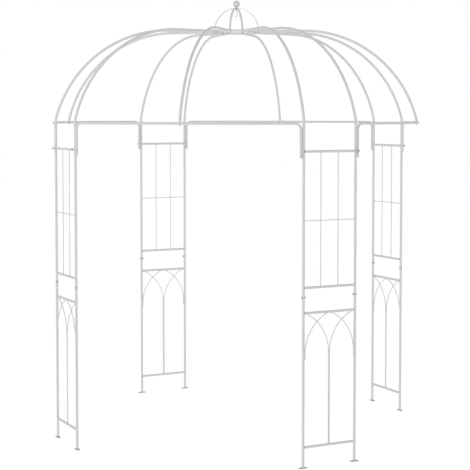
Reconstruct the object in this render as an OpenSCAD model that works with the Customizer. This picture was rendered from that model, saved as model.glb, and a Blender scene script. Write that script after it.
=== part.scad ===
// Rose pavilion: an open garden pavilion of white coated steel tube.
// Four trellis panels stand in a circle, each in a lower and an upper section.
// Four arches join the panels over the doorways, and twelve bent ribs rise to a ring with a wire crown.
// The origin is at ground level in the middle, +Z is up and the front doorway faces -Y.

/* [Plan] */
// Radius of the circle that the post axes stand on
post_circle_r = 1200; // [1100:10:1400]
// Width of a trellis panel, from post axis to post axis
panel_w = 350; // [300:5:420]

/* [Tube and rod] */
// Outside diameter of the posts, arches and ribs
tube_d = 16; // [15.5:0.5:20]
// Wall thickness of the tubes
tube_wall = 1; // [0.8:0.1:1.5]
// Diameter of the cross rails of the panels
rail_d = 15; // [10:0.5:15]
// Diameter of the trellis rods
rod_d = 6; // [4:0.5:7]
// Depth that a rod sinks into what it is welded along
weld_bite = 0.8; // [0.5:0.1:1.2]

/* [Heights] */
// Height of the lower sections' bottom rail
bottom_rail_z = 122; // [80:1:200]
// Height of the lower sections' top rail
lower_top_rail_z = 905; // [860:1:930]
// Height at which the upper sections stand on the lower ones
split_z = 1025; // [1010:1:1035]
// Height of the upper sections' bottom rail
upper_bottom_rail_z = 1052; // [1050:1:1150]
// Height of the cross rod in the upper sections
cross_rod_z = 1440; // [1300:10:1600]
// Height of the upper sections' top rail
upper_top_rail_z = 1839; // [1750:1:1900]
// Height of the arch tubes over the doorways
arch_z = 2000; // [1960:5:2100]
// Height of the posts' top ends above the arch tubes' axis
post_over_arch = 4; // [4:1:12]

/* [Trellis] */
// Height at which the trellis rods start to curve
rod_spring_z = 669; // [600:1:720]
// Length of the straight tail below the curve of a rod on a post
rod_tail = 32; // [20:1:60]
// Gap between the two rods that rise side by side in the middle
rod_pair_gap = 0.4; // [0.4:0.1:4]
// Number of upright rods in an upper section
upright_count = 2; // [1:1:4]

/* [Feet] */
// Length of a foot plate, along its panel
foot_l = 50; // [46:1:70]
// Width of a foot plate
foot_w = 20; // [18:1:40]
// Thickness of a foot plate
foot_t = 4; // [3:0.5:6]
// Diameter of the two peg holes in a foot plate
peg_hole_d = 6.5; // [5:0.5:7]
// Distance of a peg hole from the post's axis
peg_hole_x = 17; // [16:0.5:19]

/* [Plug joints] */
// Length of the reduced tube end that plugs into the tube below
spigot_l = 60; // [45:1:80]
// Height of the shoulder over a reduced tube end
shoulder_h = 4; // [2:0.5:8]
// Clearance round a plugged end
fit_gap = 0.2; // [0.1:0.05:0.3]
// Clearance where a round piece lies against another
seat_gap = 0.2; // [0.1:0.05:0.3]

/* [Arches] */
// Distance of a bow's middle inside the circle of posts
arch_set_in = 14; // [0:1:40]
// Bend radius of an arch tube where it turns down beside a post
arch_bend_r = 40; // [30:1:60]
// Height of an arch leg's open end below the arch tube's axis
arch_leg_l = 200; // [120:5:260]

/* [Ribs] */
// Radius of a rib's long bend
rib_r = 765; // [700:5:800]
// Lean of a rib from upright at the foot of its long bend
rib_lean = 15.5; // [12:0.5:20]
// Radius of the short bend at a rib's foot
rib_foot_bend_r = 90; // [60:5:150]
// Length of straight tube below the short bend
rib_stub = 4; // [4:0.5:20]
// Height of a middle rib's foot tips above the arch tube's axis
saddle_z = 3; // [2.5:0.5:5]
// Turn of the middle ribs and the crown from the middles of the doorways
middle_turn = 2; // [-4:0.5:4]
// Length of the plug in a rib's inner end, which takes the hub screw
rib_plug_l = 25; // [15:1:40]

/* [Crown] */
// Outside radius of the hub ring
hub_r = 155; // [120:1:200]
// Height of the hub ring's flat bar
hub_h = 16; // [16:1:30]
// Thickness of the hub ring's flat bar
hub_t = 3; // [2:0.5:5]
// Width of the crown's flat bars
crown_w = 14; // [10:1:18]
// Thickness of the crown's flat bars
crown_t = 3; // [2:0.5:4]
// Clearance between the crown's feet and the hub ring
crown_gap = 0.3; // [0.3:0.05:0.6]
// Height of the crown's round part above the ribs' level axis
crown_lift = 5; // [0:1:30]
// Thickness of the disc that the crown's bars are welded to
crown_disc_t = 5; // [5:0.5:8]
// Rise of the disc above the crown's bars
crown_disc_rise = 0.7; // [0.4:0.1:1.5]
// Margin of the disc round the ends of the crown's bars
crown_disc_margin = 2; // [1:0.5:6]

/* [Finial and hook] */
// Diameter of the ball on top
ball_d = 45; // [30:1:70]
// Diameter of the ball's neck
neck_d = 12; // [10:0.5:20]
// Height of the neck between crown and ball
neck_h = 4; // [4:1:30]
// Diameter of the stud below the neck
stud_d = 5; // [4:0.5:6]
// Length of the stud below the crown's disc
stud_l = 7; // [5:1:8]
// Diameter of the hook's boss, screwed on the stud
boss_d = 9; // [9:0.5:16]
// Height of the hook's boss
boss_h = 11; // [10:1:20]
// Depth of the boss below the stud's end
boss_floor = 1; // [0.5:0.5:3]
// Diameter of the hook's wire
hook_d = 3; // [3:0.5:5]
// Straight length of the hook's wire below the boss
hook_stem = 14; // [5:1:60]
// Radius of the hook's open loop
hook_r = 8; // [6:0.5:14]
// Radius of the wide bend that swings the wire out over the loop
hook_bend_r = 19; // [12:0.5:40]
// Turn of the wire into the loop
hook_turn = 45; // [30:5:60]
// Angle that the open loop goes round
hook_sweep = 225; // [180:5:260]

/* [Hidden] */

// Facets round a tube or rod, and along a long bend
$fn = 48;
bend_fn = 360;
// Overshoot of a cut past the face that it opens
cut = 1;
// Steps in a millimetre that a placement is split into
fine_steps = 1000;
coat = "white";

// Directions of the four corners and the four doorways
back_right = 45;
back_left = 135;
front_left = 225;
front_right = 315;
right = 0;
back = 90;
left = 180;
front = 270;
// Angle from a doorway's middle to a panel's middle
eighth_turn = 45;

// Plan of a panel: its plane's distance from the middle, and a post's angle from the panel's middle
panel_x = sqrt(pow(post_circle_r, 2) - pow(panel_w / 2, 2));
post_angle = asin(panel_w / 2 / post_circle_r);
post_top_z = arch_z + post_over_arch;

// Tubes and the reduced ends that plug into them
tube_bore = tube_d - 2 * tube_wall;
spigot_d = tube_bore - 2 * fit_gap;
spigot_bore = spigot_d - 2 * tube_wall;

// Cross rails: cut square, so that they meet the round posts at the top and bottom of their ends
rail_bore = rail_d - 2 * tube_wall;
rail_l = panel_w - tube_d + 2 * weld_bite;

// Trellis arches: every rod has the same curve, from a post to the middle of the top rail
rod_layer = (rod_d - weld_bite) / 2;
rod_post_y = panel_w / 2 - tube_d / 2 - rod_d / 2 + weld_bite;
rod_pair_y = (rod_d + rod_pair_gap) / 2;
rod_rise = lower_top_rail_z - rod_spring_z;
rod_curve_r = (pow(rod_rise, 2) + pow(rod_post_y, 2)) / (2 * rod_post_y);
rod_sweep = asin(rod_rise / rod_curve_r);

// Arches: the bow's circle runs through its middle and on past the bends to the posts beside the doorway
door_post = post_circle_r * [cos(eighth_turn - post_angle), sin(eighth_turn - post_angle)];
arch_middle_r = post_circle_r - arch_set_in;
arch_rise = arch_middle_r - door_post.x;
arch_r = (pow(arch_rise, 2) + pow(door_post.y, 2) - pow(arch_bend_r, 2)) / (2 * arch_rise);
arch_centre_x = arch_middle_r - arch_r;
leg_circle_r = norm([arch_r, arch_bend_r]);
leg_gap_angle = 2 * asin((tube_d + seat_gap) / 2 / leg_circle_r);
bend_angle = asin(door_post.y / leg_circle_r) - leg_gap_angle - atan(arch_bend_r / arch_r);
// Angle that a half of the bow runs past the middle before it is trimmed there
bow_lap_angle = 1;
bow_trim = 4 * tube_d;

// Middle ribs: where a turned foot stands on the bow, and half the angle that its saddle needs there
middle_foot_r = arch_centre_x * cos(middle_turn)
    + sqrt(pow(arch_r, 2) - pow(arch_centre_x * sin(middle_turn), 2));
middle_foot_in = post_circle_r - middle_foot_r;
middle_foot_angle = asin(middle_foot_r * sin(middle_turn) / arch_r);
saddle_angle = 2;

// Ribs: the long bend's centre from the short bend's, and the level run that ends in the hub ring
rib_bend_z = post_top_z + rib_stub;
rib_centre_in = (rib_r - rib_foot_bend_r) * cos(rib_lean);
rib_centre_down = (rib_r - rib_foot_bend_r) * sin(rib_lean);
rib_level_l = post_circle_r - rib_foot_bend_r - rib_centre_in - hub_r + hub_t;
rib_top_z = rib_bend_z - rib_centre_down + rib_r;

// Crown: bars bent to a half circle, with feet flat on the hub ring's inner face
crown_r = hub_r - hub_t - crown_gap;
crown_z = rib_top_z + crown_lift;
crown_foot_l = crown_lift + hub_h / 2;
crown_bar_start = crown_w / 2 + crown_disc_margin;
crown_bar_angle = asin(crown_bar_start / crown_r);
crown_disc_r = norm([crown_bar_start, crown_w / 2]) + crown_disc_margin;
crown_disc_top = crown_z + crown_r + crown_disc_rise;
crown_disc_bottom = crown_disc_top - crown_disc_t;

// Hook: where the wire starts to swing out, and the distance between the centres of its two bends
hook_bend_z = crown_disc_bottom - boss_h - hook_stem;
hook_centres = hook_bend_r + hook_r;

// A round bar bent in the XY plane about the origin, from a start angle through a sweep
module bend(d, radius, start, sweep) {
    rotate_extrude(start = start, angle = sweep, $fn = bend_fn) translate([radius, 0]) circle(d = d);
}

// Moves by whole millimetres, then thousandths, then the rest, so that bends meet end to end exactly
module place(v) {
    whole = [for (c = v) floor(c)];
    fine = [for (c = v) floor((c - floor(c)) * fine_steps) / fine_steps];
    translate(whole) translate(fine) translate(v - whole - fine) children();
}

// Puts pieces at both posts of a panel
module at_posts() {
    for (side = [-1, 1]) translate([0, side * panel_w / 2, 0]) children();
}

// Sets a panel, drawn in the YZ plane, at its place in the circle
module at_corner(direction) {
    rotate([0, 0, direction]) translate([panel_x, 0, 0]) children();
}

// Turns a shape drawn flat in XY upright into the panel's YZ plane
module upright_in_panel(layer) {
    translate([layer, 0, 0]) rotate([90, 0, 90]) children();
}

// A round bar along a cross rail
module rail_bar(height, d, l) {
    translate([0, 0, height]) rotate([90, 0, 0]) cylinder(d = d, h = l, center = true);
}

// A cross rail: a tube cut square at both posts
module rail(height) {
    difference() {
        rail_bar(height, rail_d, rail_l);
        rail_bar(height, rail_bore, panel_w);
    }
}

// A rod that rises straight from foot_z and then curves over to one side, drawn flat
module arch_rod(start, toward, foot_z) {
    translate([start, 0, 0]) rotate([0, toward < 0 ? 180 : 0, 0]) {
        translate([0, foot_z, 0]) rotate([-90, 0, 0]) cylinder(d = rod_d, h = rod_spring_z - foot_z);
        translate([rod_curve_r, rod_spring_z, 0]) bend(rod_d, rod_curve_r, 180, -rod_sweep);
    }
}

// A plate under a post, with a peg hole on each side
module foot_plate() {
    difference() {
        translate([-foot_w / 2, -foot_l / 2, 0]) cube([foot_w, foot_l, foot_t]);
        for (side = [-1, 1]) translate([0, side * peg_hole_x, -cut])
            cylinder(d = peg_hole_d, h = foot_t + 2 * cut);
    }
}

// Lower section of a panel: posts on foot plates, two rails and interlaced arches of rod
module lower_panel(direction) {
    color(coat) at_corner(direction) difference() {
        union() {
            at_posts() {
                foot_plate();
                translate([0, 0, foot_t / 2]) cylinder(d = tube_d, h = split_z - foot_t / 2);
            }
            rail(bottom_rail_z);
            rail(lower_top_rail_z);
            difference() {
                union() {
                    upright_in_panel(rod_layer) for (side = [-1, 1])
                        arch_rod(side * rod_post_y, -side, rod_spring_z - rod_tail);
                    upright_in_panel(-rod_layer) for (side = [-1, 1])
                        arch_rod(side * rod_pair_y, side, bottom_rail_z);
                }
                for (height = [bottom_rail_z, lower_top_rail_z]) rail_bar(height, rail_bore, panel_w);
            }
        }
        at_posts() translate([0, 0, foot_t]) cylinder(d = tube_bore, h = split_z);
    }
}

// Upper section of a panel: posts that plug into the lower ones, two rails, upright rods and a cross rod
module upper_panel(direction) {
    color(coat) at_corner(direction) difference() {
        union() {
            at_posts() {
                translate([0, 0, split_z]) cylinder(d = tube_d, h = post_top_z - split_z);
                translate([0, 0, split_z - spigot_l]) cylinder(d = spigot_d, h = spigot_l + shoulder_h);
            }
            rail(upper_bottom_rail_z);
            rail(upper_top_rail_z);
            difference() {
                for (i = [1:upright_count])
                    translate([-rod_layer, panel_w * (i / (upright_count + 1) - 1 / 2), upper_bottom_rail_z])
                        cylinder(d = rod_d, h = upper_top_rail_z - upper_bottom_rail_z);
                for (height = [upper_bottom_rail_z, upper_top_rail_z]) rail_bar(height, rail_bore, panel_w);
            }
            translate([rod_layer, 0, cross_rod_z]) rotate([90, 0, 0])
                cylinder(d = rod_d, h = panel_w, center = true);
        }
        at_posts() {
            translate([0, 0, split_z - spigot_l - cut])
                cylinder(d = spigot_bore, h = spigot_l + shoulder_h + 2 * cut);
            translate([0, 0, split_z + shoulder_h]) cylinder(d = tube_bore, h = post_top_z);
        }
    }
}

// Half an arch as a round bar: half the bow, the bend down at its end, and the leg with an overshoot
module half_arch_bar(side, d, past) {
    at_bow_end(side) translate([0, 0, arch_z]) {
        translate([-arch_r, 0, 0]) bend(d, arch_r, 0, -side * (bend_angle + bow_lap_angle));
        translate([0, 0, -arch_bend_r]) rotate([90, 0, side * 90]) bend(d, arch_bend_r, 0, 90);
        translate([0, side * arch_bend_r, -arch_leg_l - past])
            cylinder(d = d, h = arch_leg_l - arch_bend_r + past);
    }
}

// Half an arch: a bowed tube with an open leg beside the post, trimmed at the middle
module half_arch(side) {
    difference() {
        half_arch_bar(side, tube_d, 0);
        half_arch_bar(side, tube_bore, cut);
        translate([arch_middle_r, -side * bow_trim / 2, arch_z]) cube(bow_trim, center = true);
    }
}

// Arch over a doorway
module arch(direction) {
    color(coat) rotate([0, 0, direction]) for (side = [-1, 1]) half_arch(side);
}

// Puts pieces at an end of an arch's bow, with Y along the bow
module at_bow_end(side) {
    translate([arch_centre_x, 0, 0]) rotate([0, 0, side * bend_angle]) translate([arch_r, 0, 0]) children();
}

// Bent part of a rib as a round bar: short bend, long bend and level run, short of its inner end
module rib_bow(d, short) {
    rotate([90, 0, 0]) translate([post_circle_r - rib_foot_bend_r, rib_bend_z, 0]) {
        bend(d, rib_foot_bend_r, 0, rib_lean);
        place([-rib_centre_in, -rib_centre_down, 0]) {
            bend(d, rib_r, rib_lean, 90 - rib_lean);
            translate([short - rib_level_l, rib_r, 0]) rotate([0, 90, 0])
                cylinder(d = d, h = rib_level_l - short);
        }
    }
}

// Room for the hub ring at a rib's inner end
module hub_room() {
    translate([0, 0, rib_top_z])
        cylinder(r = hub_r + seat_gap, h = 2 * tube_d, center = true, $fn = bend_fn);
}

// Rib on a post: its reduced end plugs into the post's top
module post_rib(direction) {
    color(coat) rotate([0, 0, direction]) difference() {
        union() {
            rib_bow(tube_d, 0);
            translate([post_circle_r, 0, post_top_z]) cylinder(d = tube_d, h = rib_stub);
            translate([post_circle_r, 0, post_top_z - spigot_l]) cylinder(d = spigot_d, h = spigot_l);
        }
        rib_bow(tube_bore, rib_plug_l);
        translate([post_circle_r, 0, post_top_z - spigot_l - cut])
            cylinder(d = spigot_bore, h = spigot_l + rib_stub + 2 * cut);
        hub_room();
    }
}

// Rib over a doorway: its foot is cut to a saddle that stands on the arch
module middle_rib(direction) {
    color(coat) rotate([0, 0, direction]) difference() {
        rotate([0, 0, middle_turn]) translate([-middle_foot_in, 0, 0]) difference() {
            union() {
                rib_bow(tube_d, 0);
                translate([post_circle_r, 0, arch_z + saddle_z])
                    cylinder(d = tube_d, h = rib_bend_z - arch_z - saddle_z);
            }
            rib_bow(tube_bore, rib_plug_l + middle_foot_in);
            translate([post_circle_r, 0, arch_z]) cylinder(d = tube_bore, h = rib_bend_z - arch_z);
        }
        translate([arch_centre_x, 0, arch_z])
            bend(tube_d + 2 * seat_gap, arch_r, middle_foot_angle - saddle_angle, 2 * saddle_angle);
        hub_room();
    }
}

// Ring of flat bar that holds the ribs' inner ends
module hub_ring() {
    color(coat) translate([0, 0, rib_top_z - hub_h / 2]) difference() {
        cylinder(r = hub_r, h = hub_h, $fn = bend_fn);
        translate([0, 0, -cut]) cylinder(r = hub_r - hub_t, h = hub_h + 2 * cut, $fn = bend_fn);
    }
}

// One of the crown's bars: a straight foot and a quarter circle up to the disc
module crown_bar() {
    rotate([90, 0, 0]) rotate_extrude(angle = 90 - crown_bar_angle, $fn = bend_fn)
        translate([crown_r - crown_t, -crown_w / 2]) square([crown_t, crown_w]);
    translate([crown_r - crown_t, -crown_w / 2, -crown_foot_l]) cube([crown_t, crown_w, crown_foot_l]);
}

// Crown: two crossing half circles of flat bar, welded to a drilled disc at the top
module crown() {
    color(coat) difference() {
        union() {
            for (direction = [right, back, left, front])
                translate([0, 0, crown_z]) rotate([0, 0, direction + middle_turn]) crown_bar();
            translate([0, 0, crown_disc_bottom]) cylinder(r = crown_disc_r, h = crown_disc_t);
        }
        translate([0, 0, crown_disc_bottom - cut])
            cylinder(d = stud_d + 2 * fit_gap, h = crown_disc_t + 2 * cut);
    }
}

// Ball on a neck, with a stud down through the crown's disc
module finial() {
    ball_z = crown_disc_top + neck_h + sqrt(pow(ball_d / 2, 2) - pow(neck_d / 2, 2));
    color(coat) {
        translate([0, 0, ball_z]) sphere(d = ball_d);
        translate([0, 0, crown_disc_top]) cylinder(d = neck_d, h = ball_z - crown_disc_top);
        translate([0, 0, crown_disc_bottom - stud_l])
            cylinder(d = stud_d, h = crown_disc_t + stud_l + neck_h);
    }
}

// Hook for a lantern: a boss on the finial's stud and a wire with an open loop
module lantern_hook() {
    color(coat) {
        difference() {
            translate([0, 0, crown_disc_bottom - boss_h]) cylinder(d = boss_d, h = boss_h);
            translate([0, 0, crown_disc_bottom - stud_l - boss_floor])
                cylinder(d = stud_d + 2 * fit_gap, h = stud_l + boss_floor + cut);
        }
        rotate([90, 0, 0]) translate([0, hook_bend_z, 0]) {
            rotate([-90, 0, 0]) cylinder(d = hook_d, h = hook_stem + boss_floor);
            translate([hook_bend_r, 0, 0]) {
                bend(hook_d, hook_bend_r, 180, hook_turn);
                place([-hook_centres * cos(hook_turn), -hook_centres * sin(hook_turn), 0])
                    bend(hook_d, hook_r, hook_turn, -hook_sweep);
            }
        }
    }
}

lower_panel(front_left);  // lower_panel_front_left
lower_panel(front_right);  // lower_panel_front_right
lower_panel(back_left);  // lower_panel_back_left
lower_panel(back_right);  // lower_panel_back_right
upper_panel(front_left);  // upper_panel_front_left
upper_panel(front_right);  // upper_panel_front_right
upper_panel(back_left);  // upper_panel_back_left
upper_panel(back_right);  // upper_panel_back_right
arch(front);  // front_arch
arch(right);  // right_arch
arch(back);  // back_arch
arch(left);  // left_arch
post_rib(front_left + post_angle);  // front_left_rib_front
post_rib(front_left - post_angle);  // front_left_rib_side
post_rib(front_right - post_angle);  // front_right_rib_front
post_rib(front_right + post_angle);  // front_right_rib_side
post_rib(back_left - post_angle);  // back_left_rib_back
post_rib(back_left + post_angle);  // back_left_rib_side
post_rib(back_right + post_angle);  // back_right_rib_back
post_rib(back_right - post_angle);  // back_right_rib_side
middle_rib(front);  // front_middle_rib
middle_rib(right);  // right_middle_rib
middle_rib(back);  // back_middle_rib
middle_rib(left);  // left_middle_rib
hub_ring();
crown();
finial();
lantern_hook();
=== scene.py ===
"""Looks of a white coated steel rose pavilion: its finish, bolts, screws, weld beads and studio."""

import math
from collections import namedtuple

import bpy
from bpy.props import FloatProperty, FloatVectorProperty, IntProperty, PointerProperty
from mathutils import Matrix, Vector


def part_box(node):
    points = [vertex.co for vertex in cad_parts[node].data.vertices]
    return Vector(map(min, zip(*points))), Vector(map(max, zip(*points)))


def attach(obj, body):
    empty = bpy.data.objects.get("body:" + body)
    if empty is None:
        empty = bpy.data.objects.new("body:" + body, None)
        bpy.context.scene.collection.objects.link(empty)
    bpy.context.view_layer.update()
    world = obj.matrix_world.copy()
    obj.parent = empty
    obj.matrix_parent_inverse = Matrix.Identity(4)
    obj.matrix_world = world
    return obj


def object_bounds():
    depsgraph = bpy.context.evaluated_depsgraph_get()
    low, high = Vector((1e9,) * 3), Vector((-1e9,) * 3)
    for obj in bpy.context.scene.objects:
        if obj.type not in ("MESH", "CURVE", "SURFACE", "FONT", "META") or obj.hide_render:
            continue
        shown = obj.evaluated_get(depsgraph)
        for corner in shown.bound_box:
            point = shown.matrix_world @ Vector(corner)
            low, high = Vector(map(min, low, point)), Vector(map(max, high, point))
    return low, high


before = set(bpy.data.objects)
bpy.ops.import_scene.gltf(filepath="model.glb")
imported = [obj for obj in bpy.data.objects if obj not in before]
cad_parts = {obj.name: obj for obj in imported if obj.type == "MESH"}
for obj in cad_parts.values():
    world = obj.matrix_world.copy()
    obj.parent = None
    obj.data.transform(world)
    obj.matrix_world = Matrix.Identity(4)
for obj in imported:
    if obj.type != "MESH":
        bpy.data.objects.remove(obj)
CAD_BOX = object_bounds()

bl_info = {
    "name": "Rose Pavilion Looks",
    "version": (1, 0, 0),
    "blender": (4, 5, 0),
    "location": "View3D > Sidebar > Rose Pavilion",
    "description": "Coats a steel rose pavilion and adds its bolts, screws, welds and studio",
    "category": "Object",
}

BODY = "root"
COAT = "white_powder_coat"
ZINC = "zinc_plated_steel"
ZINC_NODES = ("lantern_hook",)
MIDDLE_RIBS = ("front_middle_rib", "right_middle_rib", "back_middle_rib", "left_middle_rib")
MM = 0.001
UP = Vector((0.0, 0.0, 1.0))
WHITE = (1.0, 1.0, 1.0, 1.0)

# A mark is a place where a geometry tree sets one of its shapes, chosen by its number in the tree
AXIS = "axis"
GRAIN = "grain"
CHOICE = "choice"
Mark = namedtuple("Mark", ("place", AXIS, GRAIN, CHOICE))
HEAD = 0
NUT = 1
SLEEVE = 2
ONLY = 0

# Plan of the frame, read from the boxes of its pieces
TUBE_R = 8 * MM
CORNERS = (45, 135, 225, 315)
SIDES = (-1, 1)
UPPER_LOW, UPPER_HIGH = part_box("upper_panel_front_right")
SPLIT_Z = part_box("lower_panel_front_right")[1].z
ARCH_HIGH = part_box("front_arch")[1]
HUB_LOW, HUB_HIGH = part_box("hub_ring")
POST_NEAR = UPPER_LOW.x + TUBE_R
POST_FAR = UPPER_HIGH.x - TUBE_R
LEG_NEAR = ARCH_HIGH.x - TUBE_R
LEG_FAR = -(ARCH_HIGH.y - TUBE_R)
POST_CIRCLE_R = math.hypot(POST_NEAR, POST_FAR)
PANEL_HALF_W = (POST_FAR - POST_NEAR) / math.sqrt(2)
PANEL_X = (POST_FAR + POST_NEAR) / math.sqrt(2)
ARCH_Z = ARCH_HIGH.z - TUBE_R
HUB_Z = (HUB_LOW.z + HUB_HIGH.z) / 2

# Surfaces: each roughness runs from its least to its most
COAT_ROUGHNESS = (0.36, 0.50)
COAT_IOR = 1.5
PATCH_DETAIL = 2.0
PEEL_DETAIL = 1.0
PEEL_STRENGTH = 0.12
PEEL_DEPTH = 0.4 * MM
ZINC_ROUGHNESS = (0.28, 0.48)
CLOUD_DETAIL = 3.0
PAPER_ROUGHNESS = 0.9

# A washer on a seat as wide as the circle of posts is flat to the eye
FLAT_SEAT_R = POST_CIRCLE_R

# Forms of the fixings: shares of a nut's width and height, a thread's diameter and a clamp's height
CHAMFER_R_SHARE = 0.42
CHAMFER_H_SHARE = 0.14
POINT_R_SHARE = 0.42
CLAMP_CORNER_SHARE = 0.3
HEAD_SWING = math.radians(66)
SMOOTH_BELOW = math.radians(40)

# Forms of the welds: a bead's ripple in radians a point and as a share of it, and uneven sizes
RIPPLE_STEP = 1.6
RIPPLE_DEPTH = 0.14
TACK_FORM = (1.0, 0.8, 0.7)
RAIL_BEAD_UNEVEN = 0.03
RING_BEAD_UNEVEN = 0.04
TACK_UNEVEN = 0.12

# Facets of the small pieces
WASHER_SIDES = 40
HEAD_SIDES = 32
HEAD_RINGS = 8
HEXAGON = 6
CHAMFER_SIDES = 32
THREAD_SIDES = 24
THREAD_RINGS = 2
RAIL_BEAD_POINTS = 12
RING_BEAD_POINTS = 28
BEAD_SIDES = 8
TACK_LEVEL = 3
CLAMP_CORNER_POINTS = 6


def linear(hex_colour):
    """Turns an sRGB hex colour into linear red, green and blue."""
    channels = [int(hex_colour[i:i + 2], 16) / 255 for i in (1, 3, 5)]
    return [c / 12.92 if c <= 0.04045 else ((c + 0.055) / 1.055) ** 2.4 for c in channels]


def length(name, description, millimetres):
    """A size that a user may change, in metres."""
    return FloatProperty(name=name, description=description, default=millimetres * MM, unit="LENGTH",
                         min=0.0, precision=4)


def angle(name, description, degrees):
    """An angle that a user may change."""
    return FloatProperty(name=name, description=description, default=math.radians(degrees),
                         unit="ROTATION")


def amount(name, description, value):
    """A plain number that a user may change."""
    return FloatProperty(name=name, description=description, default=value, min=0.0)


def colour(name, description, hex_colour):
    """A colour that a user may change."""
    return FloatVectorProperty(name=name, description=description, default=linear(hex_colour),
                               subtype="COLOR", min=0.0, max=1.0)


def place(name, description, metres):
    """A place that a user may change."""
    return FloatVectorProperty(name=name, description=description, default=metres, subtype="XYZ",
                               unit="LENGTH")


class RosePavilionFinish(bpy.types.PropertyGroup):
    """Colours and surface sizes of the two finishes"""

    coat: colour("Coat", "White powder coat where the film is even", "#D8D8D8")
    coat_thin: colour("Thin coat", "Powder coat where the film is a little thinner", "#CFCFCF")
    # The ground film colour and its height are painted shade: the foot plates are drawn darker near the
    # floor
    film: colour("Ground film", "Dull film on the coat of the foot plates", "#A2A2A2")
    painted_shade_height: length("Film height", "Height up to which the foot plates carry the film", 7)
    peel: length("Orange peel", "Size of the coat's fine waves, drawn coarser than real so they show", 4)
    patch: length("Coat patch", "Size of the areas where the film's thickness changes", 120)
    zinc: colour("Zinc", "Zinc plating on bolts, screws, nuts and the hook", "#B0B2B4")
    zinc_dull: colour("Dull zinc", "Zinc plating where it has dulled", "#96989A")
    spangle: length("Spangle", "Size of the patches in the zinc", 3)


class RosePavilionFixings(bpy.types.PropertyGroup):
    """Sizes of the bolts, screws, nuts and clamps"""

    thread_d: length("Thread", "Diameter of the bolts' thread", 6)
    head_d: length("Head", "Diameter of a bolt's round head", 11)
    head_h: length("Head height", "Height of a bolt's round head", 3.6)
    washer_d: length("Washer", "Diameter of a washer", 12.5)
    washer_t: length("Washer thickness", "Thickness of a washer", 1.2)
    nut_w: length("Nut", "Width of a hexagon nut across its flats", 10)
    nut_h: length("Nut height", "Height of a hexagon nut", 5)
    tip: length("Thread end", "Length of thread that shows past a nut", 2.5)
    screw_d: length("Screw head", "Diameter of a hub screw's head", 8.5)
    screw_h: length("Screw head height", "Height of a hub screw's head", 2.6)
    hub_t: length("Hub ring", "Thickness of the hub ring's flat bar", 3)
    crown_in: length("Crown foot", "Depth of a crown foot's face inside the hub ring's", 3.3)
    section_drop: length("Joint bolt", "Depth of a section's bolt below the plug joint", 28)
    clamp_w: length("Clamp plate", "Length of the plate that clamps an arch leg to its post", 34)
    clamp_h: length("Clamp height", "Height of a clamp plate", 14)
    clamp_t: length("Clamp thickness", "Thickness of a clamp plate", 2)
    sleeve_d: length("Sleeve", "Diameter of the coated sleeve under a clamp bolt's nut", 9)
    sleeve_l: length("Sleeve length", "Length of the coated sleeve under a clamp bolt's nut", 10)
    clamp_nut_w: length("Clamp nut", "Width of a clamp bolt's nut across its flats", 8)


class RosePavilionWelds(bpy.types.PropertyGroup):
    """Sizes of the welds, and the places of the rails and rods that they join"""

    bead: length("Bead", "Thickness of a weld bead round a rail", 2.4)
    rod_bead: length("Rod bead", "Thickness of a weld bead round a rod", 1.8)
    tack: length("Tack", "Size of a tack weld where two rods cross", 5.2)
    rail_d: length("Rail", "Diameter of the panels' cross rails", 15)
    rail_arc: angle("Rail weld", "Angle of rail that a weld bead at a post covers", 64)
    rod_d: length("Rod", "Diameter of the trellis rods", 6)
    rod_layer: length("Rod layer", "Distance of a rod's axis from the panel's middle plane", 2.6)
    rod_pair: length("Rod pair", "Distance of the middle rods from the panel's middle", 3.2)
    foot_t: length("Foot plate", "Thickness of a foot plate", 4)
    bottom_rail_z: length("Bottom rail", "Height of the lower sections' bottom rail", 122)
    lower_top_rail_z: length("Lower top rail", "Height of the lower sections' top rail", 905)
    upper_bottom_rail_z: length("Upper bottom rail", "Height of the upper sections' bottom rail", 1052)
    cross_rod_z: length("Cross rod", "Height of the upper sections' cross rod", 1440)
    upper_top_rail_z: length("Upper top rail", "Height of the upper sections' top rail", 1839)
    rod_spring_z: length("Rod spring", "Height at which the trellis rods start to curve", 669)
    rod_tail: length("Rod tail", "Length of rod welded along a post below its curve", 32)
    upright_count: IntProperty(name="Uprights", description="Upright rods in an upper section",
                               default=2, min=1)
    seed: IntProperty(name="Seed", description="Seed of the welds' uneven sizes", default=7)


class RosePavilionStage(bpy.types.PropertyGroup):
    """Studio floor, light and camera"""

    camera_place: place("Camera place", "Where the camera stands", (2.6729, -8.3074, 2.0418))
    camera_tilt: angle("Camera tilt", "Camera's angle from straight down", 86.98)
    camera_turn: angle("Camera turn", "Camera's turn about the vertical", 17.835)
    lens: amount("Lens", "Focal length in millimetres", 101.44)
    shift: FloatVectorProperty(name="Lens shift", description="Shift of the view inside its frame",
                               size=2, default=(-0.00298, -0.1042), precision=5)
    floor_w: length("Floor width", "Width of the floor", 60000)
    floor: colour("Floor", "Pale studio floor", "#F2F2F2")
    floor_lift: amount("Floor lift", "Light that the seen floor adds to reach white", 0.50)
    floor_glow: amount("Floor glow", "Light that the floor gives to the frame", 0.37)
    sky: amount("Sky", "Strength of the light from all round, level with the floor", 0.65)
    sky_top: amount("Sky overhead", "Strength of the light from overhead", 0.43)
    sun: amount("Key light", "Strength of the soft key light", 0.7)
    sun_angle: angle("Key size", "Angle that the key light fills, for soft shadows", 40)
    sun_turn: angle("Key turn", "Turn of the key light from the camera's, to its left below nought", -12)
    sun_tilt: angle("Key tilt", "Angle of the key light from overhead", 70)
    side: amount("Side light", "Strength of the soft light at the left, in watts", 7.0)
    side_w: length("Side light width", "Width of the soft light at the left", 1500)
    side_place: place("Side light place", "Its place: right of the view, away from the camera, and up",
                      (-2.6, -1.8, 2.8))


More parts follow.
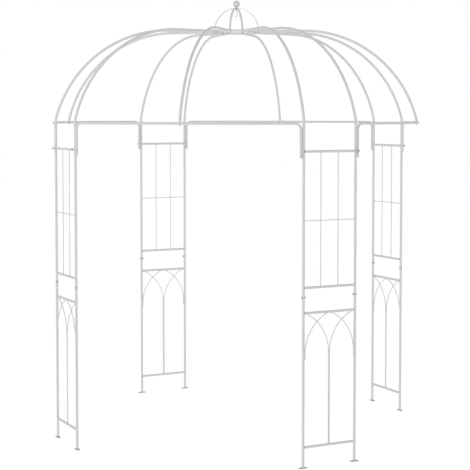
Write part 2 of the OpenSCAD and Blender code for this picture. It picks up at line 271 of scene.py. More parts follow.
def add_node(tree, kind, settings=None, **sockets):
    """Adds a node, sets its options, and fills its inputs by name, or by number as i0.

    A socket is linked, and so is a node, by its first output. A list has each of its members linked.
    """
    node = tree.nodes.new(kind)
    for option, value in (settings or {}).items():
        setattr(node, option, value)
    for key, value in sockets.items():
        socket = node.inputs[int(key[1:]) if key[1:].isdigit() else key.replace("_", " ")]
        for source in value if isinstance(value, list) else [value]:
            if isinstance(source, bpy.types.Node):
                tree.links.new(source.outputs[0], socket)
            elif isinstance(source, bpy.types.NodeSocket):
                tree.links.new(source, socket)
            else:
                socket.default_value = source
    return node


def new_material(name):
    """Starts a material with only its shader and output, and returns it with its tree and shader."""
    material = bpy.data.materials.new(name)
    material.use_nodes = True
    tree = material.node_tree
    return material, tree, tree.nodes["Principled BSDF"]


def opaque(rgb):
    """A colour as a colour socket takes it."""
    return (*rgb, 1.0)


def make_powder_coat(finish):
    """Polyester powder coat, sprayed on steel and baked: satin white with a faint orange peel, and
    painted shade on the foot plates.
    """
    material, tree, shader = new_material(COAT)
    at = add_node(tree, "ShaderNodeTexCoord").outputs["Object"]
    # The film's thickness wanders over the tubes, which gives faint patches of tone
    patches = add_node(tree, "ShaderNodeTexNoise", Vector=at, Scale=1 / finish.patch,
                       Detail=PATCH_DETAIL)
    film = add_node(tree, "ShaderNodeMix", {"data_type": "RGBA"}, i0=patches,
                    i6=opaque(finish.coat_thin), i7=opaque(finish.coat))
    # Painted shade: the foot plates are drawn darker up to a little above the floor, where shade falls
    height = add_node(tree, "ShaderNodeSeparateXYZ", Vector=at).outputs["Z"]
    painted_ground_shade = add_node(tree, "ShaderNodeMapRange", {"interpolation_type": "SMOOTHSTEP"}, Value=height,
                      From_Min=finish.painted_shade_height / 2, From_Max=finish.painted_shade_height,
                      To_Min=1.0, To_Max=0.0)
    tone = add_node(tree, "ShaderNodeMix", {"data_type": "RGBA"}, i0=painted_ground_shade,
                    i6=film.outputs[2], i7=opaque(finish.film))
    # Orange peel, drawn coarser than real so that it shows: low waves that break up the highlights
    peel = add_node(tree, "ShaderNodeTexNoise", Vector=at, Scale=1 / finish.peel, Detail=PEEL_DETAIL)
    waves = add_node(tree, "ShaderNodeBump", Height=peel, Strength=PEEL_STRENGTH, Distance=PEEL_DEPTH)
    gloss = add_node(tree, "ShaderNodeMapRange", Value=patches, To_Min=COAT_ROUGHNESS[0],
                     To_Max=COAT_ROUGHNESS[1])
    tree.links.new(tone.outputs[2], shader.inputs["Base Color"])
    tree.links.new(gloss.outputs["Result"], shader.inputs["Roughness"])
    tree.links.new(waves.outputs["Normal"], shader.inputs["Normal"])
    shader.inputs["IOR"].default_value = COAT_IOR
    return material


def make_zinc(finish):
    """Zinc-plated steel, barrel plated and passivated: grey metal with soft, cloudy reflections."""
    material, tree, shader = new_material(ZINC)
    at = add_node(tree, "ShaderNodeTexCoord").outputs["Object"]
    clouds = add_node(tree, "ShaderNodeTexNoise", Vector=at, Scale=1 / finish.spangle,
                      Detail=CLOUD_DETAIL)
    tone = add_node(tree, "ShaderNodeMix", {"data_type": "RGBA"}, i0=clouds,
                    i6=opaque(finish.zinc_dull), i7=opaque(finish.zinc))
    dull = add_node(tree, "ShaderNodeMapRange", Value=clouds, To_Min=ZINC_ROUGHNESS[0],
                    To_Max=ZINC_ROUGHNESS[1])
    tree.links.new(tone.outputs[2], shader.inputs["Base Color"])
    tree.links.new(dull.outputs["Result"], shader.inputs["Roughness"])
    shader.inputs["Metallic"].default_value = 1.0
    return material


def seen_ray(tree):
    """One for rays from the camera, from reflections and through glass, and nought for the rest."""
    path = add_node(tree, "ShaderNodeLightPath").outputs
    mirrored = add_node(tree, "ShaderNodeMath", {"operation": "MAXIMUM"}, i0=path["Is Camera Ray"],
                        i1=path["Is Glossy Ray"])
    return add_node(tree, "ShaderNodeMath", {"operation": "MAXIMUM"}, i0=mirrored,
                    i1=path["Is Transmission Ray"])


def make_floor_paper(stage):
    """Seamless paper: matt and pale, lifted to white where it is seen, under the frame's soft shadow."""
    material, tree, shader = new_material("studio_paper")
    shader.inputs["Base Color"].default_value = opaque(stage.floor)
    shader.inputs["Roughness"].default_value = PAPER_ROUGHNESS
    shader.inputs["Specular IOR Level"].default_value = 0.0
    shader.inputs["Emission Color"].default_value = WHITE
    lift = add_node(tree, "ShaderNodeMapRange", Value=seen_ray(tree), To_Min=stage.floor_glow,
                    To_Max=stage.floor_lift)
    tree.links.new(lift.outputs["Result"], shader.inputs["Emission Strength"])
    return material


def finished(name):
    """A finish that the first operator has made."""
    material = bpy.data.materials.get(name)
    if material is None:
        raise RuntimeError(f"the finish {name} is made by the coat operator, which runs first")
    return material


def new_tree(name, sizes):
    """Starts a geometry tree with named inputs for its sizes, and returns it with its inputs."""
    tree = bpy.data.node_groups.new(name, "GeometryNodeTree")
    tree.interface.new_socket("Geometry", in_out="INPUT", socket_type="NodeSocketGeometry")
    for size in sizes:
        tree.interface.new_socket(size, in_out="INPUT", socket_type="NodeSocketFloat")
    tree.interface.new_socket("Seed", in_out="INPUT", socket_type="NodeSocketInt")
    tree.interface.new_socket("Material", in_out="INPUT", socket_type="NodeSocketMaterial")
    tree.interface.new_socket("Geometry", in_out="OUTPUT", socket_type="NodeSocketGeometry")
    return tree, add_node(tree, "NodeGroupInput").outputs


def end_tree(tree, given, shapes, uneven=0.0):
    """Sets the shape that each mark chooses along its axis and grain, and ends in plain geometry."""
    shelf = []
    for members in reversed(shapes):
        whole = add_node(tree, "GeometryNodeJoinGeometry", Geometry=members)
        shelf.append(add_node(tree, "GeometryNodeGeometryToInstance", Geometry=whole))
    choices = add_node(tree, "GeometryNodeJoinGeometry", Geometry=shelf)
    axis = add_node(tree, "GeometryNodeInputNamedAttribute", {"data_type": "FLOAT_VECTOR"}, Name=AXIS)
    along = add_node(tree, "FunctionNodeAlignRotationToVector", {"axis": "Z"}, Vector=axis)
    grain = add_node(tree, "GeometryNodeInputNamedAttribute", {"data_type": "FLOAT_VECTOR"}, Name=GRAIN)
    turned_up = add_node(tree, "FunctionNodeAlignRotationToVector", {"axis": "X", "pivot_axis": "Z"},
                         Rotation=along, Vector=grain)
    choice = add_node(tree, "GeometryNodeInputNamedAttribute", {"data_type": "INT"}, Name=CHOICE)
    scale = add_node(tree, "FunctionNodeRandomValue", {"data_type": "FLOAT_VECTOR"}, Seed=given["Seed"],
                     i0=(1 - uneven,) * 3, i1=(1 + uneven,) * 3)
    copies = add_node(tree, "GeometryNodeInstanceOnPoints", Points=given["Geometry"], Instance=choices,
                      Pick_Instance=True, Instance_Index=choice, Rotation=turned_up, Scale=scale)
    plain = add_node(tree, "GeometryNodeRealizeInstances", Geometry=copies)
    bend = add_node(tree, "GeometryNodeInputMeshEdgeAngle").outputs["Unsigned Angle"]
    soft = add_node(tree, "ShaderNodeMath", {"operation": "LESS_THAN"}, i0=bend, i1=SMOOTH_BELOW)
    smooth = add_node(tree, "GeometryNodeSetShadeSmooth", {"domain": "EDGE"}, i0=plain, Shade_Smooth=soft)
    finish = add_node(tree, "GeometryNodeSetMaterial", Geometry=smooth, Material=given["Material"])
    add_node(tree, "NodeGroupOutput", Geometry=finish)


def washer_shape(tree, given):
    """A disc with a flat top, whose underside follows the tube that it sits on."""
    radius = add_node(tree, "ShaderNodeMath", {"operation": "DIVIDE"}, i0=given["Washer Diameter"],
                      i1=2.0)
    disc = add_node(tree, "GeometryNodeMeshCylinder", Vertices=WASHER_SIDES, Radius=radius,
                    Depth=given["Washer Thickness"])
    lift = add_node(tree, "ShaderNodeMath", {"operation": "DIVIDE"}, i0=given["Washer Thickness"],
                    i1=2.0)
    at = add_node(tree, "ShaderNodeSeparateXYZ", Vector=add_node(tree, "GeometryNodeInputPosition"))
    across = add_node(tree, "ShaderNodeMath", {"operation": "DIVIDE"}, i0=at.outputs["Y"],
                      i1=given["Seat Radius"])
    turn = add_node(tree, "ShaderNodeMath", {"operation": "ARCSINE"}, i0=across)
    level = add_node(tree, "ShaderNodeMath", {"operation": "COSINE"}, i0=turn)
    sink = add_node(tree, "ShaderNodeMath", {"operation": "SUBTRACT"}, i0=level, i1=1.0)
    drop = add_node(tree, "ShaderNodeMath", {"operation": "MULTIPLY"}, i0=sink, i1=given["Seat Radius"])
    under = add_node(tree, "ShaderNodeMath", {"operation": "LESS_THAN"}, i0=at.outputs["Z"], i1=0.0)
    lower = add_node(tree, "ShaderNodeMath", {"operation": "MULTIPLY"}, i0=drop, i1=under)
    reach = add_node(tree, "ShaderNodeMath", {"operation": "ADD"}, i0=lower, i1=lift)
    move = add_node(tree, "ShaderNodeCombineXYZ", Z=reach)
    return add_node(tree, "GeometryNodeSetPosition", Geometry=disc, Offset=move)


def head_shape(tree, given):
    """A cylinder on the washer, drawn in towards its top, so that it is a low closed dome."""
    radius = add_node(tree, "ShaderNodeMath", {"operation": "DIVIDE"}, i0=given["Head Diameter"], i1=2.0)
    block = add_node(tree, "GeometryNodeMeshCylinder", Vertices=HEAD_SIDES, Side_Segments=HEAD_RINGS,
                     Radius=radius, Depth=given["Head Height"])
    spot = add_node(tree, "GeometryNodeInputPosition")
    height = add_node(tree, "ShaderNodeSeparateXYZ", Vector=spot).outputs["Z"]
    rise = add_node(tree, "ShaderNodeMath", {"operation": "DIVIDE"}, i0=height, i1=given["Head Height"])
    share = add_node(tree, "ShaderNodeMath", {"operation": "ADD"}, i0=rise, i1=0.5)
    swing = add_node(tree, "ShaderNodeMath", {"operation": "MULTIPLY"}, i0=share, i1=HEAD_SWING)
    shrink = add_node(tree, "ShaderNodeMath", {"operation": "COSINE"}, i0=swing)
    climb = add_node(tree, "ShaderNodeMath", {"operation": "SINE"}, i0=swing)
    level = add_node(tree, "ShaderNodeMath", {"operation": "MULTIPLY_ADD"}, i0=climb,
                     i1=given["Head Height"], i2=given["Washer Thickness"])
    plan = add_node(tree, "ShaderNodeVectorMath", {"operation": "SCALE"}, i0=spot, Scale=shrink)
    flat = add_node(tree, "ShaderNodeSeparateXYZ", Vector=plan).outputs
    dome = add_node(tree, "ShaderNodeCombineXYZ", X=flat["X"], Y=flat["Y"], Z=level)
    return add_node(tree, "GeometryNodeSetPosition", Geometry=block, Position=dome)


def nut_shapes(tree, given):
    """A hexagon on the washer, the chamfer of its top, and the thread's end past it."""
    corner_r = add_node(tree, "ShaderNodeMath", {"operation": "DIVIDE"}, i0=given["Nut Width"],
                        i1=math.sqrt(3))
    hexagon = add_node(tree, "GeometryNodeMeshCone", Vertices=HEXAGON, Radius_Top=corner_r,
                       Radius_Bottom=corner_r, Depth=given["Nut Height"])
    base = add_node(tree, "ShaderNodeCombineXYZ", Z=given["Washer Thickness"])
    nut = add_node(tree, "GeometryNodeTransform", Geometry=hexagon, Translation=base)
    height = add_node(tree, "ShaderNodeMath", {"operation": "ADD"}, i0=given["Washer Thickness"],
                      i1=given["Nut Height"])
    top = add_node(tree, "ShaderNodeCombineXYZ", Z=height)
    flat_r = add_node(tree, "ShaderNodeMath", {"operation": "DIVIDE"}, i0=given["Nut Width"], i1=2.0)
    chamfer_r = add_node(tree, "ShaderNodeMath", {"operation": "MULTIPLY"}, i0=given["Nut Width"],
                         i1=CHAMFER_R_SHARE)
    chamfer_h = add_node(tree, "ShaderNodeMath", {"operation": "MULTIPLY"}, i0=given["Nut Height"],
                         i1=CHAMFER_H_SHARE)
    chamfer = add_node(tree, "GeometryNodeMeshCone", Vertices=CHAMFER_SIDES, Radius_Top=chamfer_r,
                       Radius_Bottom=flat_r, Depth=chamfer_h)
    collar = add_node(tree, "GeometryNodeTransform", Geometry=chamfer, Translation=top)
    thread_r = add_node(tree, "ShaderNodeMath", {"operation": "DIVIDE"}, i0=given["Thread Diameter"],
                        i1=2.0)
    point_r = add_node(tree, "ShaderNodeMath", {"operation": "MULTIPLY"}, i0=given["Thread Diameter"],
                       i1=POINT_R_SHARE)
    thread = add_node(tree, "GeometryNodeMeshCone", Vertices=THREAD_SIDES, Side_Segments=THREAD_RINGS,
                      Radius_Top=point_r, Radius_Bottom=thread_r, Depth=given["Thread End"])
    tip = add_node(tree, "GeometryNodeTransform", Geometry=thread, Translation=top)
    return [nut, collar, tip]


def fastener_tree():
    """Round heads on washers, hexagon nuts with the thread's end, or plain sleeves, seated on tubes."""
    tree, given = new_tree("fastener", ("Head Diameter", "Head Height", "Washer Diameter",
                                        "Washer Thickness", "Nut Width", "Nut Height",
                                        "Thread Diameter", "Thread End", "Seat Radius"))
    washer = washer_shape(tree, given)
    heads = [washer, head_shape(tree, given)]
    nuts = [washer, *nut_shapes(tree, given)]
    sleeves = [washer]
    end_tree(tree, given, (heads, nuts, sleeves))
    return tree


def sweep_bead(tree, given, line):
    """Sweeps a round bead with a rippled thickness along a line, with closed ends."""
    radius = add_node(tree, "ShaderNodeMath", {"operation": "DIVIDE"}, i0=given["Bead"], i1=2.0)
    profile = add_node(tree, "GeometryNodeCurvePrimitiveCircle", Resolution=BEAD_SIDES, Radius=radius)
    step = add_node(tree, "GeometryNodeInputIndex")
    phase = add_node(tree, "ShaderNodeMath", {"operation": "MULTIPLY"}, i0=step, i1=RIPPLE_STEP)
    wave = add_node(tree, "ShaderNodeMath", {"operation": "SINE"}, i0=phase)
    ripple = add_node(tree, "ShaderNodeMath", {"operation": "MULTIPLY_ADD"}, i0=wave,
                      i1=RIPPLE_DEPTH, i2=1.0)
    return add_node(tree, "GeometryNodeCurveToMesh", Curve=line, Profile_Curve=profile, Scale=ripple,
                    Fill_Caps=True)


def saddle_bead_tree():
    """Weld beads at the top and bottom of a square-cut rail's end, where it touches a post."""
    tree, given = new_tree("saddle_bead", ("Rail Diameter", "Post Diameter", "Bead", "Arc"))
    rail_r = add_node(tree, "ShaderNodeMath", {"operation": "DIVIDE"}, i0=given["Rail Diameter"], i1=2.0)
    post_r = add_node(tree, "ShaderNodeMath", {"operation": "DIVIDE"}, i0=given["Post Diameter"], i1=2.0)
    start = add_node(tree, "ShaderNodeMath", {"operation": "MULTIPLY"}, i0=given["Arc"], i1=-0.5)
    top = add_node(tree, "GeometryNodeCurveArc", Resolution=RAIL_BEAD_POINTS, Radius=rail_r,
                   Start_Angle=start, Sweep_Angle=given["Arc"])
    bottom = add_node(tree, "GeometryNodeTransform", Geometry=top, Rotation=(0.0, 0.0, math.pi))
    lines = add_node(tree, "GeometryNodeJoinGeometry", Geometry=[top, bottom])
    at = add_node(tree, "ShaderNodeSeparateXYZ", Vector=add_node(tree, "GeometryNodeInputPosition"))
    across = add_node(tree, "ShaderNodeMath", {"operation": "DIVIDE"}, i0=at.outputs["Y"], i1=post_r)
    turn = add_node(tree, "ShaderNodeMath", {"operation": "ARCSINE"}, i0=across)
    level = add_node(tree, "ShaderNodeMath", {"operation": "COSINE"}, i0=turn)
    depth = add_node(tree, "ShaderNodeMath", {"operation": "MULTIPLY"}, i0=level, i1=post_r)
    back = add_node(tree, "ShaderNodeMath", {"operation": "MULTIPLY"}, i0=depth, i1=-1.0)
    shift = add_node(tree, "ShaderNodeCombineXYZ", Z=back)
    saddle = add_node(tree, "GeometryNodeSetPosition", Geometry=lines, Offset=shift)
    end_tree(tree, given, ([sweep_bead(tree, given, saddle)],), RAIL_BEAD_UNEVEN)
    return tree


def ring_bead_tree():
    """A weld bead round the end of a rod or a post."""
    tree, given = new_tree("ring_bead", ("Diameter", "Bead"))
    radius = add_node(tree, "ShaderNodeMath", {"operation": "DIVIDE"}, i0=given["Diameter"], i1=2.0)
    line = add_node(tree, "GeometryNodeCurvePrimitiveCircle", Resolution=RING_BEAD_POINTS, Radius=radius)
    end_tree(tree, given, ([sweep_bead(tree, given, line)],), RING_BEAD_UNEVEN)
    return tree


def tack_tree():
    """A small flattened blob of weld where a rod meets a rod, a rail or a post."""
    tree, given = new_tree("tack", ("Size",))
    radius = add_node(tree, "ShaderNodeMath", {"operation": "DIVIDE"}, i0=given["Size"], i1=2.0)
    ball = add_node(tree, "GeometryNodeMeshIcoSphere", Radius=radius, Subdivisions=TACK_LEVEL)
    blob = add_node(tree, "GeometryNodeTransform", Geometry=ball, Scale=TACK_FORM)
    end_tree(tree, given, ([blob],), TACK_UNEVEN)
    return tree


def clamp_tree():
    """A plate with round corners, flat on the two tubes that it clamps."""
    tree, given = new_tree("clamp", ("Width", "Height", "Thickness"))
    outline = add_node(tree, "GeometryNodeCurvePrimitiveQuadrilateral", Width=given["Height"],
                       Height=given["Width"])
    corner = add_node(tree, "ShaderNodeMath", {"operation": "MULTIPLY"}, i0=given["Height"],
                      i1=CLAMP_CORNER_SHARE)
    round_line = add_node(tree, "GeometryNodeFilletCurve", {"mode": "POLY"}, Curve=outline,
                          Count=CLAMP_CORNER_POINTS, Radius=corner)
    face = add_node(tree, "GeometryNodeFillCurve", {"mode": "NGONS"}, Curve=round_line)
    underside = add_node(tree, "GeometryNodeFlipFaces", Mesh=face)
    wall = add_node(tree, "GeometryNodeExtrudeMesh", {"mode": "FACES"}, Mesh=face,
                    Offset_Scale=given["Thickness"])
    end_tree(tree, given, ([wall, underside],))
    return tree


def set_out(name, tree, marks, sizes, finish, seed=0):
    """Puts a tree's shapes on marks, as one plain mesh piece that rides on the frame."""
    mesh = bpy.data.meshes.new(name + "_points")
    mesh.from_pydata([mark.place for mark in marks], [], [])
    for label in (AXIS, GRAIN):
        attribute = mesh.attributes.new(label, "FLOAT_VECTOR", "POINT")
        attribute.data.foreach_set("vector", [c for mark in marks for c in getattr(mark, label)])
    choice = mesh.attributes.new(CHOICE, "INT", "POINT")
    choice.data.foreach_set("value", [mark.choice for mark in marks])
    piece = bpy.data.objects.new(name, mesh)
    bpy.context.scene.collection.objects.link(piece)
    modifier = piece.modifiers.new("set out", "NODES")
    modifier.node_group = tree
    given = {**sizes, "Seed": seed, "Material": finished(finish)}
    for socket in tree.interface.items_tree:
        if socket.in_out == "INPUT" and socket.name in given:
            modifier[socket.identifier] = given[socket.name]
    evaluated = piece.evaluated_get(bpy.context.evaluated_depsgraph_get())
    plain = bpy.data.meshes.new_from_object(evaluated)
    if not plain.polygons:
        raise RuntimeError(f"{name} came out empty")
    plain.name = name
    piece.modifiers.clear()
    piece.data = plain
    bpy.data.meshes.remove(mesh)
    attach(piece, BODY)


def turned(direction, out, along, height):
    """A point at a direction in degrees: its distance out, its offset along the circle, its height."""
    return Matrix.Rotation(math.radians(direction), 3, "Z") @ Vector((out, along, height))


def post_places():
    """Each post's plan place with the place of the arch leg beside it."""
    for x in SIDES:
        for y in SIDES:
            yield Vector((x * POST_NEAR, y * POST_FAR, 0)), Vector((x * LEG_NEAR, y * LEG_FAR, 0))
            yield Vector((x * POST_FAR, y * POST_NEAR, 0)), Vector((x * LEG_FAR, y * LEG_NEAR, 0))


def middle_feet():
    """The plan place of each middle rib's foot, which is the corner of its box furthest out."""
    for name in MIDDLE_RIBS:
        low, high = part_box(name)
        corner = [max(pair, key=abs) for pair in zip(low, high)]
        yield Vector((math.copysign(abs(c) - TUBE_R, c) for c in corner[:2])).to_3d()


def bolt_sizes(fixings, seat_r):
    """Sizes of a bolt's head, washer and nut for a tube of that radius."""
    return {"Head Diameter": fixings.head_d, "Head Height": fixings.head_h,
            "Washer Diameter": fixings.washer_d, "Washer Thickness": fixings.washer_t,
            "Nut Width": fixings.nut_w, "Nut Height": fixings.nut_h,
            "Thread Diameter": fixings.thread_d, "Thread End": fixings.tip, "Seat Radius": seat_r}


class PAVILION_OT_coat(bpy.types.Operator):
    """Give every piece of the frame its finish"""

    bl_idname = "pavilion.coat"
    bl_label = "Coat the Frame"

    def execute(self, context):
        finish = context.scene.pavilion_finish
        coat = make_powder_coat(finish)
        zinc = make_zinc(finish)
        for name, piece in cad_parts.items():
            piece.data.materials.clear()
            piece.data.materials.append(zinc if name in ZINC_NODES else coat)
        return {"FINISHED"}


class PAVILION_OT_section_bolts(bpy.types.Operator):
    """Bolt the upper sections' plugs into the lower sections' posts"""

    bl_idname = "pavilion.section_bolts"
    bl_label = "Section Bolts"

    def execute(self, context):
        fixings = context.scene.pavilion_fixings
        height = UP * (SPLIT_Z - fixings.section_drop)
        bolts = []
        for direction in CORNERS:
            for side in SIDES:
                post = turned(direction, PANEL_X, side * PANEL_HALF_W, 0) + height
                outward = turned(direction, 0, side, 0)
                bolts.append(Mark(post + outward * TUBE_R, outward, UP, HEAD))
                bolts.append(Mark(post - outward * TUBE_R, -outward, UP, NUT))
        set_out("section_bolts", fastener_tree(), bolts, bolt_sizes(fixings, TUBE_R), ZINC)
        return {"FINISHED"}


class PAVILION_OT_clamps(bpy.types.Operator):
    """Clamp the arches' legs to the posts at the top rail, with plates and bolts on the outside"""

    bl_idname = "pavilion.clamps"
    bl_label = "Arch Clamps"

    def execute(self, context):
        fixings = context.scene.pavilion_fixings
        height = UP * context.scene.pavilion_welds.upper_top_rail_z
        plates = []
        sleeves = []
        nuts = []
        heads = []
        for post, leg in post_places():
            beside = (leg - post).normalized()
            outward = beside.cross(UP)
            outward *= math.copysign(1.0, outward.dot(post))
            seat = post + height + outward * (TUBE_R + fixings.clamp_t)
            plates.append(Mark((post + leg) / 2 + height + outward * TUBE_R, outward, UP, ONLY))
            sleeves.append(Mark(seat, outward, UP, SLEEVE))
            nuts.append(Mark(seat + outward * fixings.sleeve_l, outward, UP, NUT))
            heads.append(Mark(post + height - outward * TUBE_R, -outward, UP, HEAD))
        plate = {"Width": fixings.clamp_w, "Height": fixings.clamp_h, "Thickness": fixings.clamp_t}
        nut = {**bolt_sizes(fixings, FLAT_SEAT_R), "Washer Diameter": fixings.sleeve_d,
               "Nut Width": fixings.clamp_nut_w}
        sleeve = {**nut, "Washer Thickness": fixings.sleeve_l}
        set_out("clamp_plates", clamp_tree(), plates, plate, COAT)
        set_out("clamp_heads", fastener_tree(), heads, bolt_sizes(fixings, TUBE_R), COAT)
        set_out("clamp_nuts", fastener_tree(), nuts, nut, ZINC)
        set_out("clamp_sleeves", fastener_tree(), sleeves, sleeve, COAT)
        return {"FINISHED"}


class PAVILION_OT_rib_bolts(bpy.types.Operator):
    """Bolt the middle ribs' feet from below the arches"""

    bl_idname = "pavilion.rib_bolts"
    bl_label = "Middle Rib Bolts"

    def execute(self, context):
        sizes = bolt_sizes(context.scene.pavilion_fixings, TUBE_R)
        underside = UP * (ARCH_Z - TUBE_R)
        bolts = [Mark(foot + underside, -UP, UP.cross(foot), HEAD) for foot in middle_feet()]
        set_out("rib_bolts", fastener_tree(), bolts, sizes, ZINC)
        return {"FINISHED"}


class PAVILION_OT_hub_screws(bpy.types.Operator):
    """Screw the ribs' inner ends to the hub ring, through the crown's feet where those stand"""

    bl_idname = "pavilion.hub_screws"
    bl_label = "Hub Screws"

    def execute(self, context):
        fixings = context.scene.pavilion_fixings
        sizes = {**bolt_sizes(fixings, HUB_HIGH.x),
                 "Head Diameter": fixings.screw_d, "Head Height": fixings.screw_h,
                 "Washer Diameter": fixings.screw_d + fixings.washer_t,
                 "Washer Thickness": fixings.washer_t / 2}
        hub_face = HUB_HIGH.x - fixings.hub_t
        crown_face = hub_face - fixings.crown_in
        post_turn = math.degrees(math.asin(PANEL_HALF_W / POST_CIRCLE_R))
        ribs = [(math.degrees(math.atan2(foot.y, foot.x)), crown_face) for foot in middle_feet()]
        ribs += [(direction + side * post_turn, hub_face) for direction in CORNERS for side in SIDES]
        screws = []
        for direction, face in ribs:
            inward = turned(direction, -1, 0, 0)
            screws.append(Mark(turned(direction, face, 0, HUB_Z), inward, UP, HEAD))
        set_out("hub_screws", fastener_tree(), screws, sizes, ZINC)
        return {"FINISHED"}


class PAVILION_OT_rail_welds(bpy.types.Operator):
    """Weld the rails to the posts, and the posts to their foot plates"""

    bl_idname = "pavilion.rail_welds"
    bl_label = "Rail and Foot Welds"

    def execute(self, context):
        welds = context.scene.pavilion_welds
        rails = (welds.bottom_rail_z, welds.lower_top_rail_z,
                 welds.upper_bottom_rail_z, welds.upper_top_rail_z)
        ends = []
        feet = []
        for direction in CORNERS:
            for side in SIDES:
                to_post = turned(direction, 0, side, 0)
                for rail in rails:
                    post = turned(direction, PANEL_X, side * PANEL_HALF_W, rail)
                    ends.append(Mark(post, to_post, UP, ONLY))
                foot = turned(direction, PANEL_X, side * PANEL_HALF_W, welds.foot_t)
                feet.append(Mark(foot, UP, to_post, ONLY))
        saddle = {"Rail Diameter": welds.rail_d, "Post Diameter": 2 * TUBE_R, "Bead": welds.bead,
                  "Arc": welds.rail_arc}
        ring = {"Diameter": 2 * TUBE_R, "Bead": welds.bead}
        set_out("rail_welds", saddle_bead_tree(), ends, saddle, COAT, welds.seed)
        set_out("foot_welds", ring_bead_tree(), feet, ring, COAT, welds.seed)
        return {"FINISHED"}


class PAVILION_OT_rod_welds(bpy.types.Operator):
    """Weld the trellis rods to the rails, and tack them where they cross"""

    bl_idname = "pavilion.rod_welds"
    bl_label = "Rod Welds"

    def execute(self, context):
        welds = context.scene.pavilion_welds
        rail_r = welds.rail_d / 2
        surface = math.sqrt(rail_r ** 2 - welds.rod_layer ** 2)
        rod_x = PANEL_X - welds.rod_layer
        spaces = welds.upright_count + 1
        uprights = [2 * PANEL_HALF_W * (i / spaces - 0.5) for i in range(1, spaces)]
        ends = []
        tacks = []
        for direction in CORNERS:
            outward = turned(direction, 1, 0, 0)
            for along in uprights:
                low = turned(direction, rod_x, along, welds.upper_bottom_rail_z + surface)
                high = turned(direction, rod_x, along, welds.upper_top_rail_z - surface)
                ends.append(Mark(low, UP, outward, ONLY))
                ends.append(Mark(high, -UP, outward, ONLY))
                for side in SIDES:
                    beside = along + side * welds.rod_d / 2
                    cross = turned(direction, PANEL_X, beside, welds.cross_rod_z)
                    tacks.append(Mark(cross, outward, UP, ONLY))
            for side in SIDES:
                low = turned(direction, rod_x, side * welds.rod_pair, welds.bottom_rail_z + surface)
                ends.append(Mark(low, UP, outward, ONLY))
                tacks += self.curve_tacks(welds, direction, side)
        ring = {"Diameter": welds.rod_d, "Bead": welds.rod_bead}
        set_out("rod_welds", ring_bead_tree(), ends, ring, COAT, welds.seed)
        set_out("tack_welds", tack_tree(), tacks, {"Size": welds.tack}, COAT, welds.seed)
        return {"FINISHED"}

    def curve_tacks(self, welds, direction, side):
        """Tacks of one side's curved rods: where they cross, on the post and on the top rail."""
        outward = turned(direction, 1, 0, 0)
        rod_r = welds.rod_d / 2
        run = PANEL_HALF_W - TUBE_R - rod_r
        rise = welds.lower_top_rail_z - welds.rod_spring_z
        radius = (rise ** 2 + run ** 2) / (2 * run)
        half_way = run / 2
        crossing = math.sqrt(radius ** 2 - (radius - half_way) ** 2)
        under_rail = welds.lower_top_rail_z - welds.rail_d / 2
        places = ((0, half_way, welds.rod_spring_z + crossing),
                  (welds.rod_layer, run + rod_r, welds.rod_spring_z),
                  (welds.rod_layer, run + rod_r, welds.rod_spring_z - welds.rod_tail),
                  (welds.rod_layer, rod_r, under_rail),
                  (-welds.rod_layer, run, under_rail))
        return [Mark(turned(direction, PANEL_X + layer, side * along, height), outward, UP, ONLY)
                for layer, along, height in places]


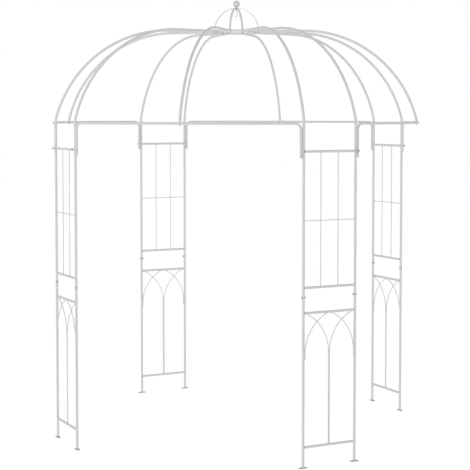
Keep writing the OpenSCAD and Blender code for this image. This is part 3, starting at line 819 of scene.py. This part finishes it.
class PAVILION_OT_stage(bpy.types.Operator):
    """Set the floor, the light and the camera"""

    bl_idname = "pavilion.stage"
    bl_label = "Studio"

    def execute(self, context):
        stage = context.scene.pavilion_stage
        self.lay_floor(context.scene, stage)
        self.light_sky(context.scene, stage)
        self.hang_key(context.scene, stage)
        self.stand_side(context.scene, stage)
        self.place_camera(context.scene, stage)
        context.scene.view_settings.view_transform = "Standard"
        return {"FINISHED"}

    def lay_floor(self, scene, stage):
        """A wide square of paper just under the foot plates."""
        half = stage.floor_w / 2
        level = CAD_BOX[0].z
        corners = [(-half, -half, level), (half, -half, level), (half, half, level), (-half, half, level)]
        mesh = bpy.data.meshes.new("floor")
        mesh.from_pydata(corners, [], [(0, 1, 2, 3)])
        mesh.materials.append(make_floor_paper(stage))
        floor = bpy.data.objects.new("floor", mesh)
        scene.collection.objects.link(floor)

    def light_sky(self, scene, stage):
        """Light from all round that fades towards overhead, seen as white by camera and reflections."""
        world = bpy.data.worlds.new("studio")
        world.use_nodes = True
        tree = world.node_tree
        direction = add_node(tree, "ShaderNodeTexCoord").outputs["Generated"]
        height = add_node(tree, "ShaderNodeSeparateXYZ", Vector=direction).outputs["Z"]
        fade = add_node(tree, "ShaderNodeMapRange", Value=height, To_Min=stage.sky, To_Max=stage.sky_top)
        level = add_node(tree, "ShaderNodeMapRange", Value=seen_ray(tree), To_Min=fade, To_Max=1.0)
        background = tree.nodes["Background"]
        background.inputs["Color"].default_value = WHITE
        tree.links.new(level.outputs["Result"], background.inputs["Strength"])
        scene.world = world

    def hang_key(self, scene, stage):
        """A broad soft light from the camera's left."""
        light = bpy.data.lights.new("key", "SUN")
        light.energy = stage.sun
        light.angle = stage.sun_angle
        key = bpy.data.objects.new("key", light)
        key.rotation_euler = (stage.sun_tilt, 0.0, stage.camera_turn + stage.sun_turn)
        scene.collection.objects.link(key)

    def stand_side(self, scene, stage):
        """A soft light at the camera's left, near the frame and out of every view."""
        light = bpy.data.lights.new("side", "AREA")
        light.energy = stage.side
        light.size = stage.side_w
        side = bpy.data.objects.new("side", light)
        side.location = Matrix.Rotation(stage.camera_turn, 3, "Z") @ Vector(stage.side_place)
        aim = UP * stage.side_place[2] - side.location
        side.rotation_euler = aim.to_track_quat("-Z", "Y").to_euler()
        side.visible_camera = False
        side.visible_glossy = False
        scene.collection.objects.link(side)

    def place_camera(self, scene, stage):
        """The photograph's viewpoint, with the shift of its frame."""
        lens = bpy.data.cameras.new("camera")
        lens.lens = stage.lens
        lens.shift_x, lens.shift_y = stage.shift
        camera = bpy.data.objects.new("camera", lens)
        camera.location = stage.camera_place
        camera.rotation_euler = (stage.camera_tilt, 0.0, stage.camera_turn)
        scene.collection.objects.link(camera)
        scene.camera = camera


OPERATORS = (PAVILION_OT_coat, PAVILION_OT_section_bolts, PAVILION_OT_clamps, PAVILION_OT_rib_bolts,
             PAVILION_OT_hub_screws, PAVILION_OT_rail_welds, PAVILION_OT_rod_welds, PAVILION_OT_stage)
GROUPS = {"pavilion_finish": RosePavilionFinish, "pavilion_fixings": RosePavilionFixings,
          "pavilion_welds": RosePavilionWelds, "pavilion_stage": RosePavilionStage}


class PAVILION_PT_looks(bpy.types.Panel):
    """Lists the pavilion's operators and the sizes and colours that they use"""

    bl_label = "Rose Pavilion"
    bl_idname = "PAVILION_PT_looks"
    bl_space_type = "VIEW_3D"
    bl_region_type = "UI"
    bl_category = "Rose Pavilion"

    def draw(self, context):
        for operator in OPERATORS:
            self.layout.operator(operator.bl_idname)
        for name in GROUPS:
            box = self.layout.box()
            group = getattr(context.scene, name)
            for size in group.bl_rna.properties.keys():
                if size not in ("rna_type", "name"):
                    box.prop(group, size)


CLASSES = (*GROUPS.values(), *OPERATORS, PAVILION_PT_looks)


def register():
    """Registers the classes and gives the scene their sizes and colours."""
    for each in CLASSES:
        bpy.utils.register_class(each)
    for name, group in GROUPS.items():
        setattr(bpy.types.Scene, name, PointerProperty(type=group))


def unregister():
    """Takes back what register added."""
    for name in GROUPS:
        delattr(bpy.types.Scene, name)
    for each in reversed(CLASSES):
        bpy.utils.unregister_class(each)


def main():
    """Builds the looks in order."""
    register()
    bpy.ops.pavilion.coat()
    bpy.ops.pavilion.section_bolts()
    bpy.ops.pavilion.clamps()
    bpy.ops.pavilion.rib_bolts()
    bpy.ops.pavilion.hub_screws()
    bpy.ops.pavilion.rail_welds()
    bpy.ops.pavilion.rod_welds()
    bpy.ops.pavilion.stage()


if __name__ == "__main__":
    main()
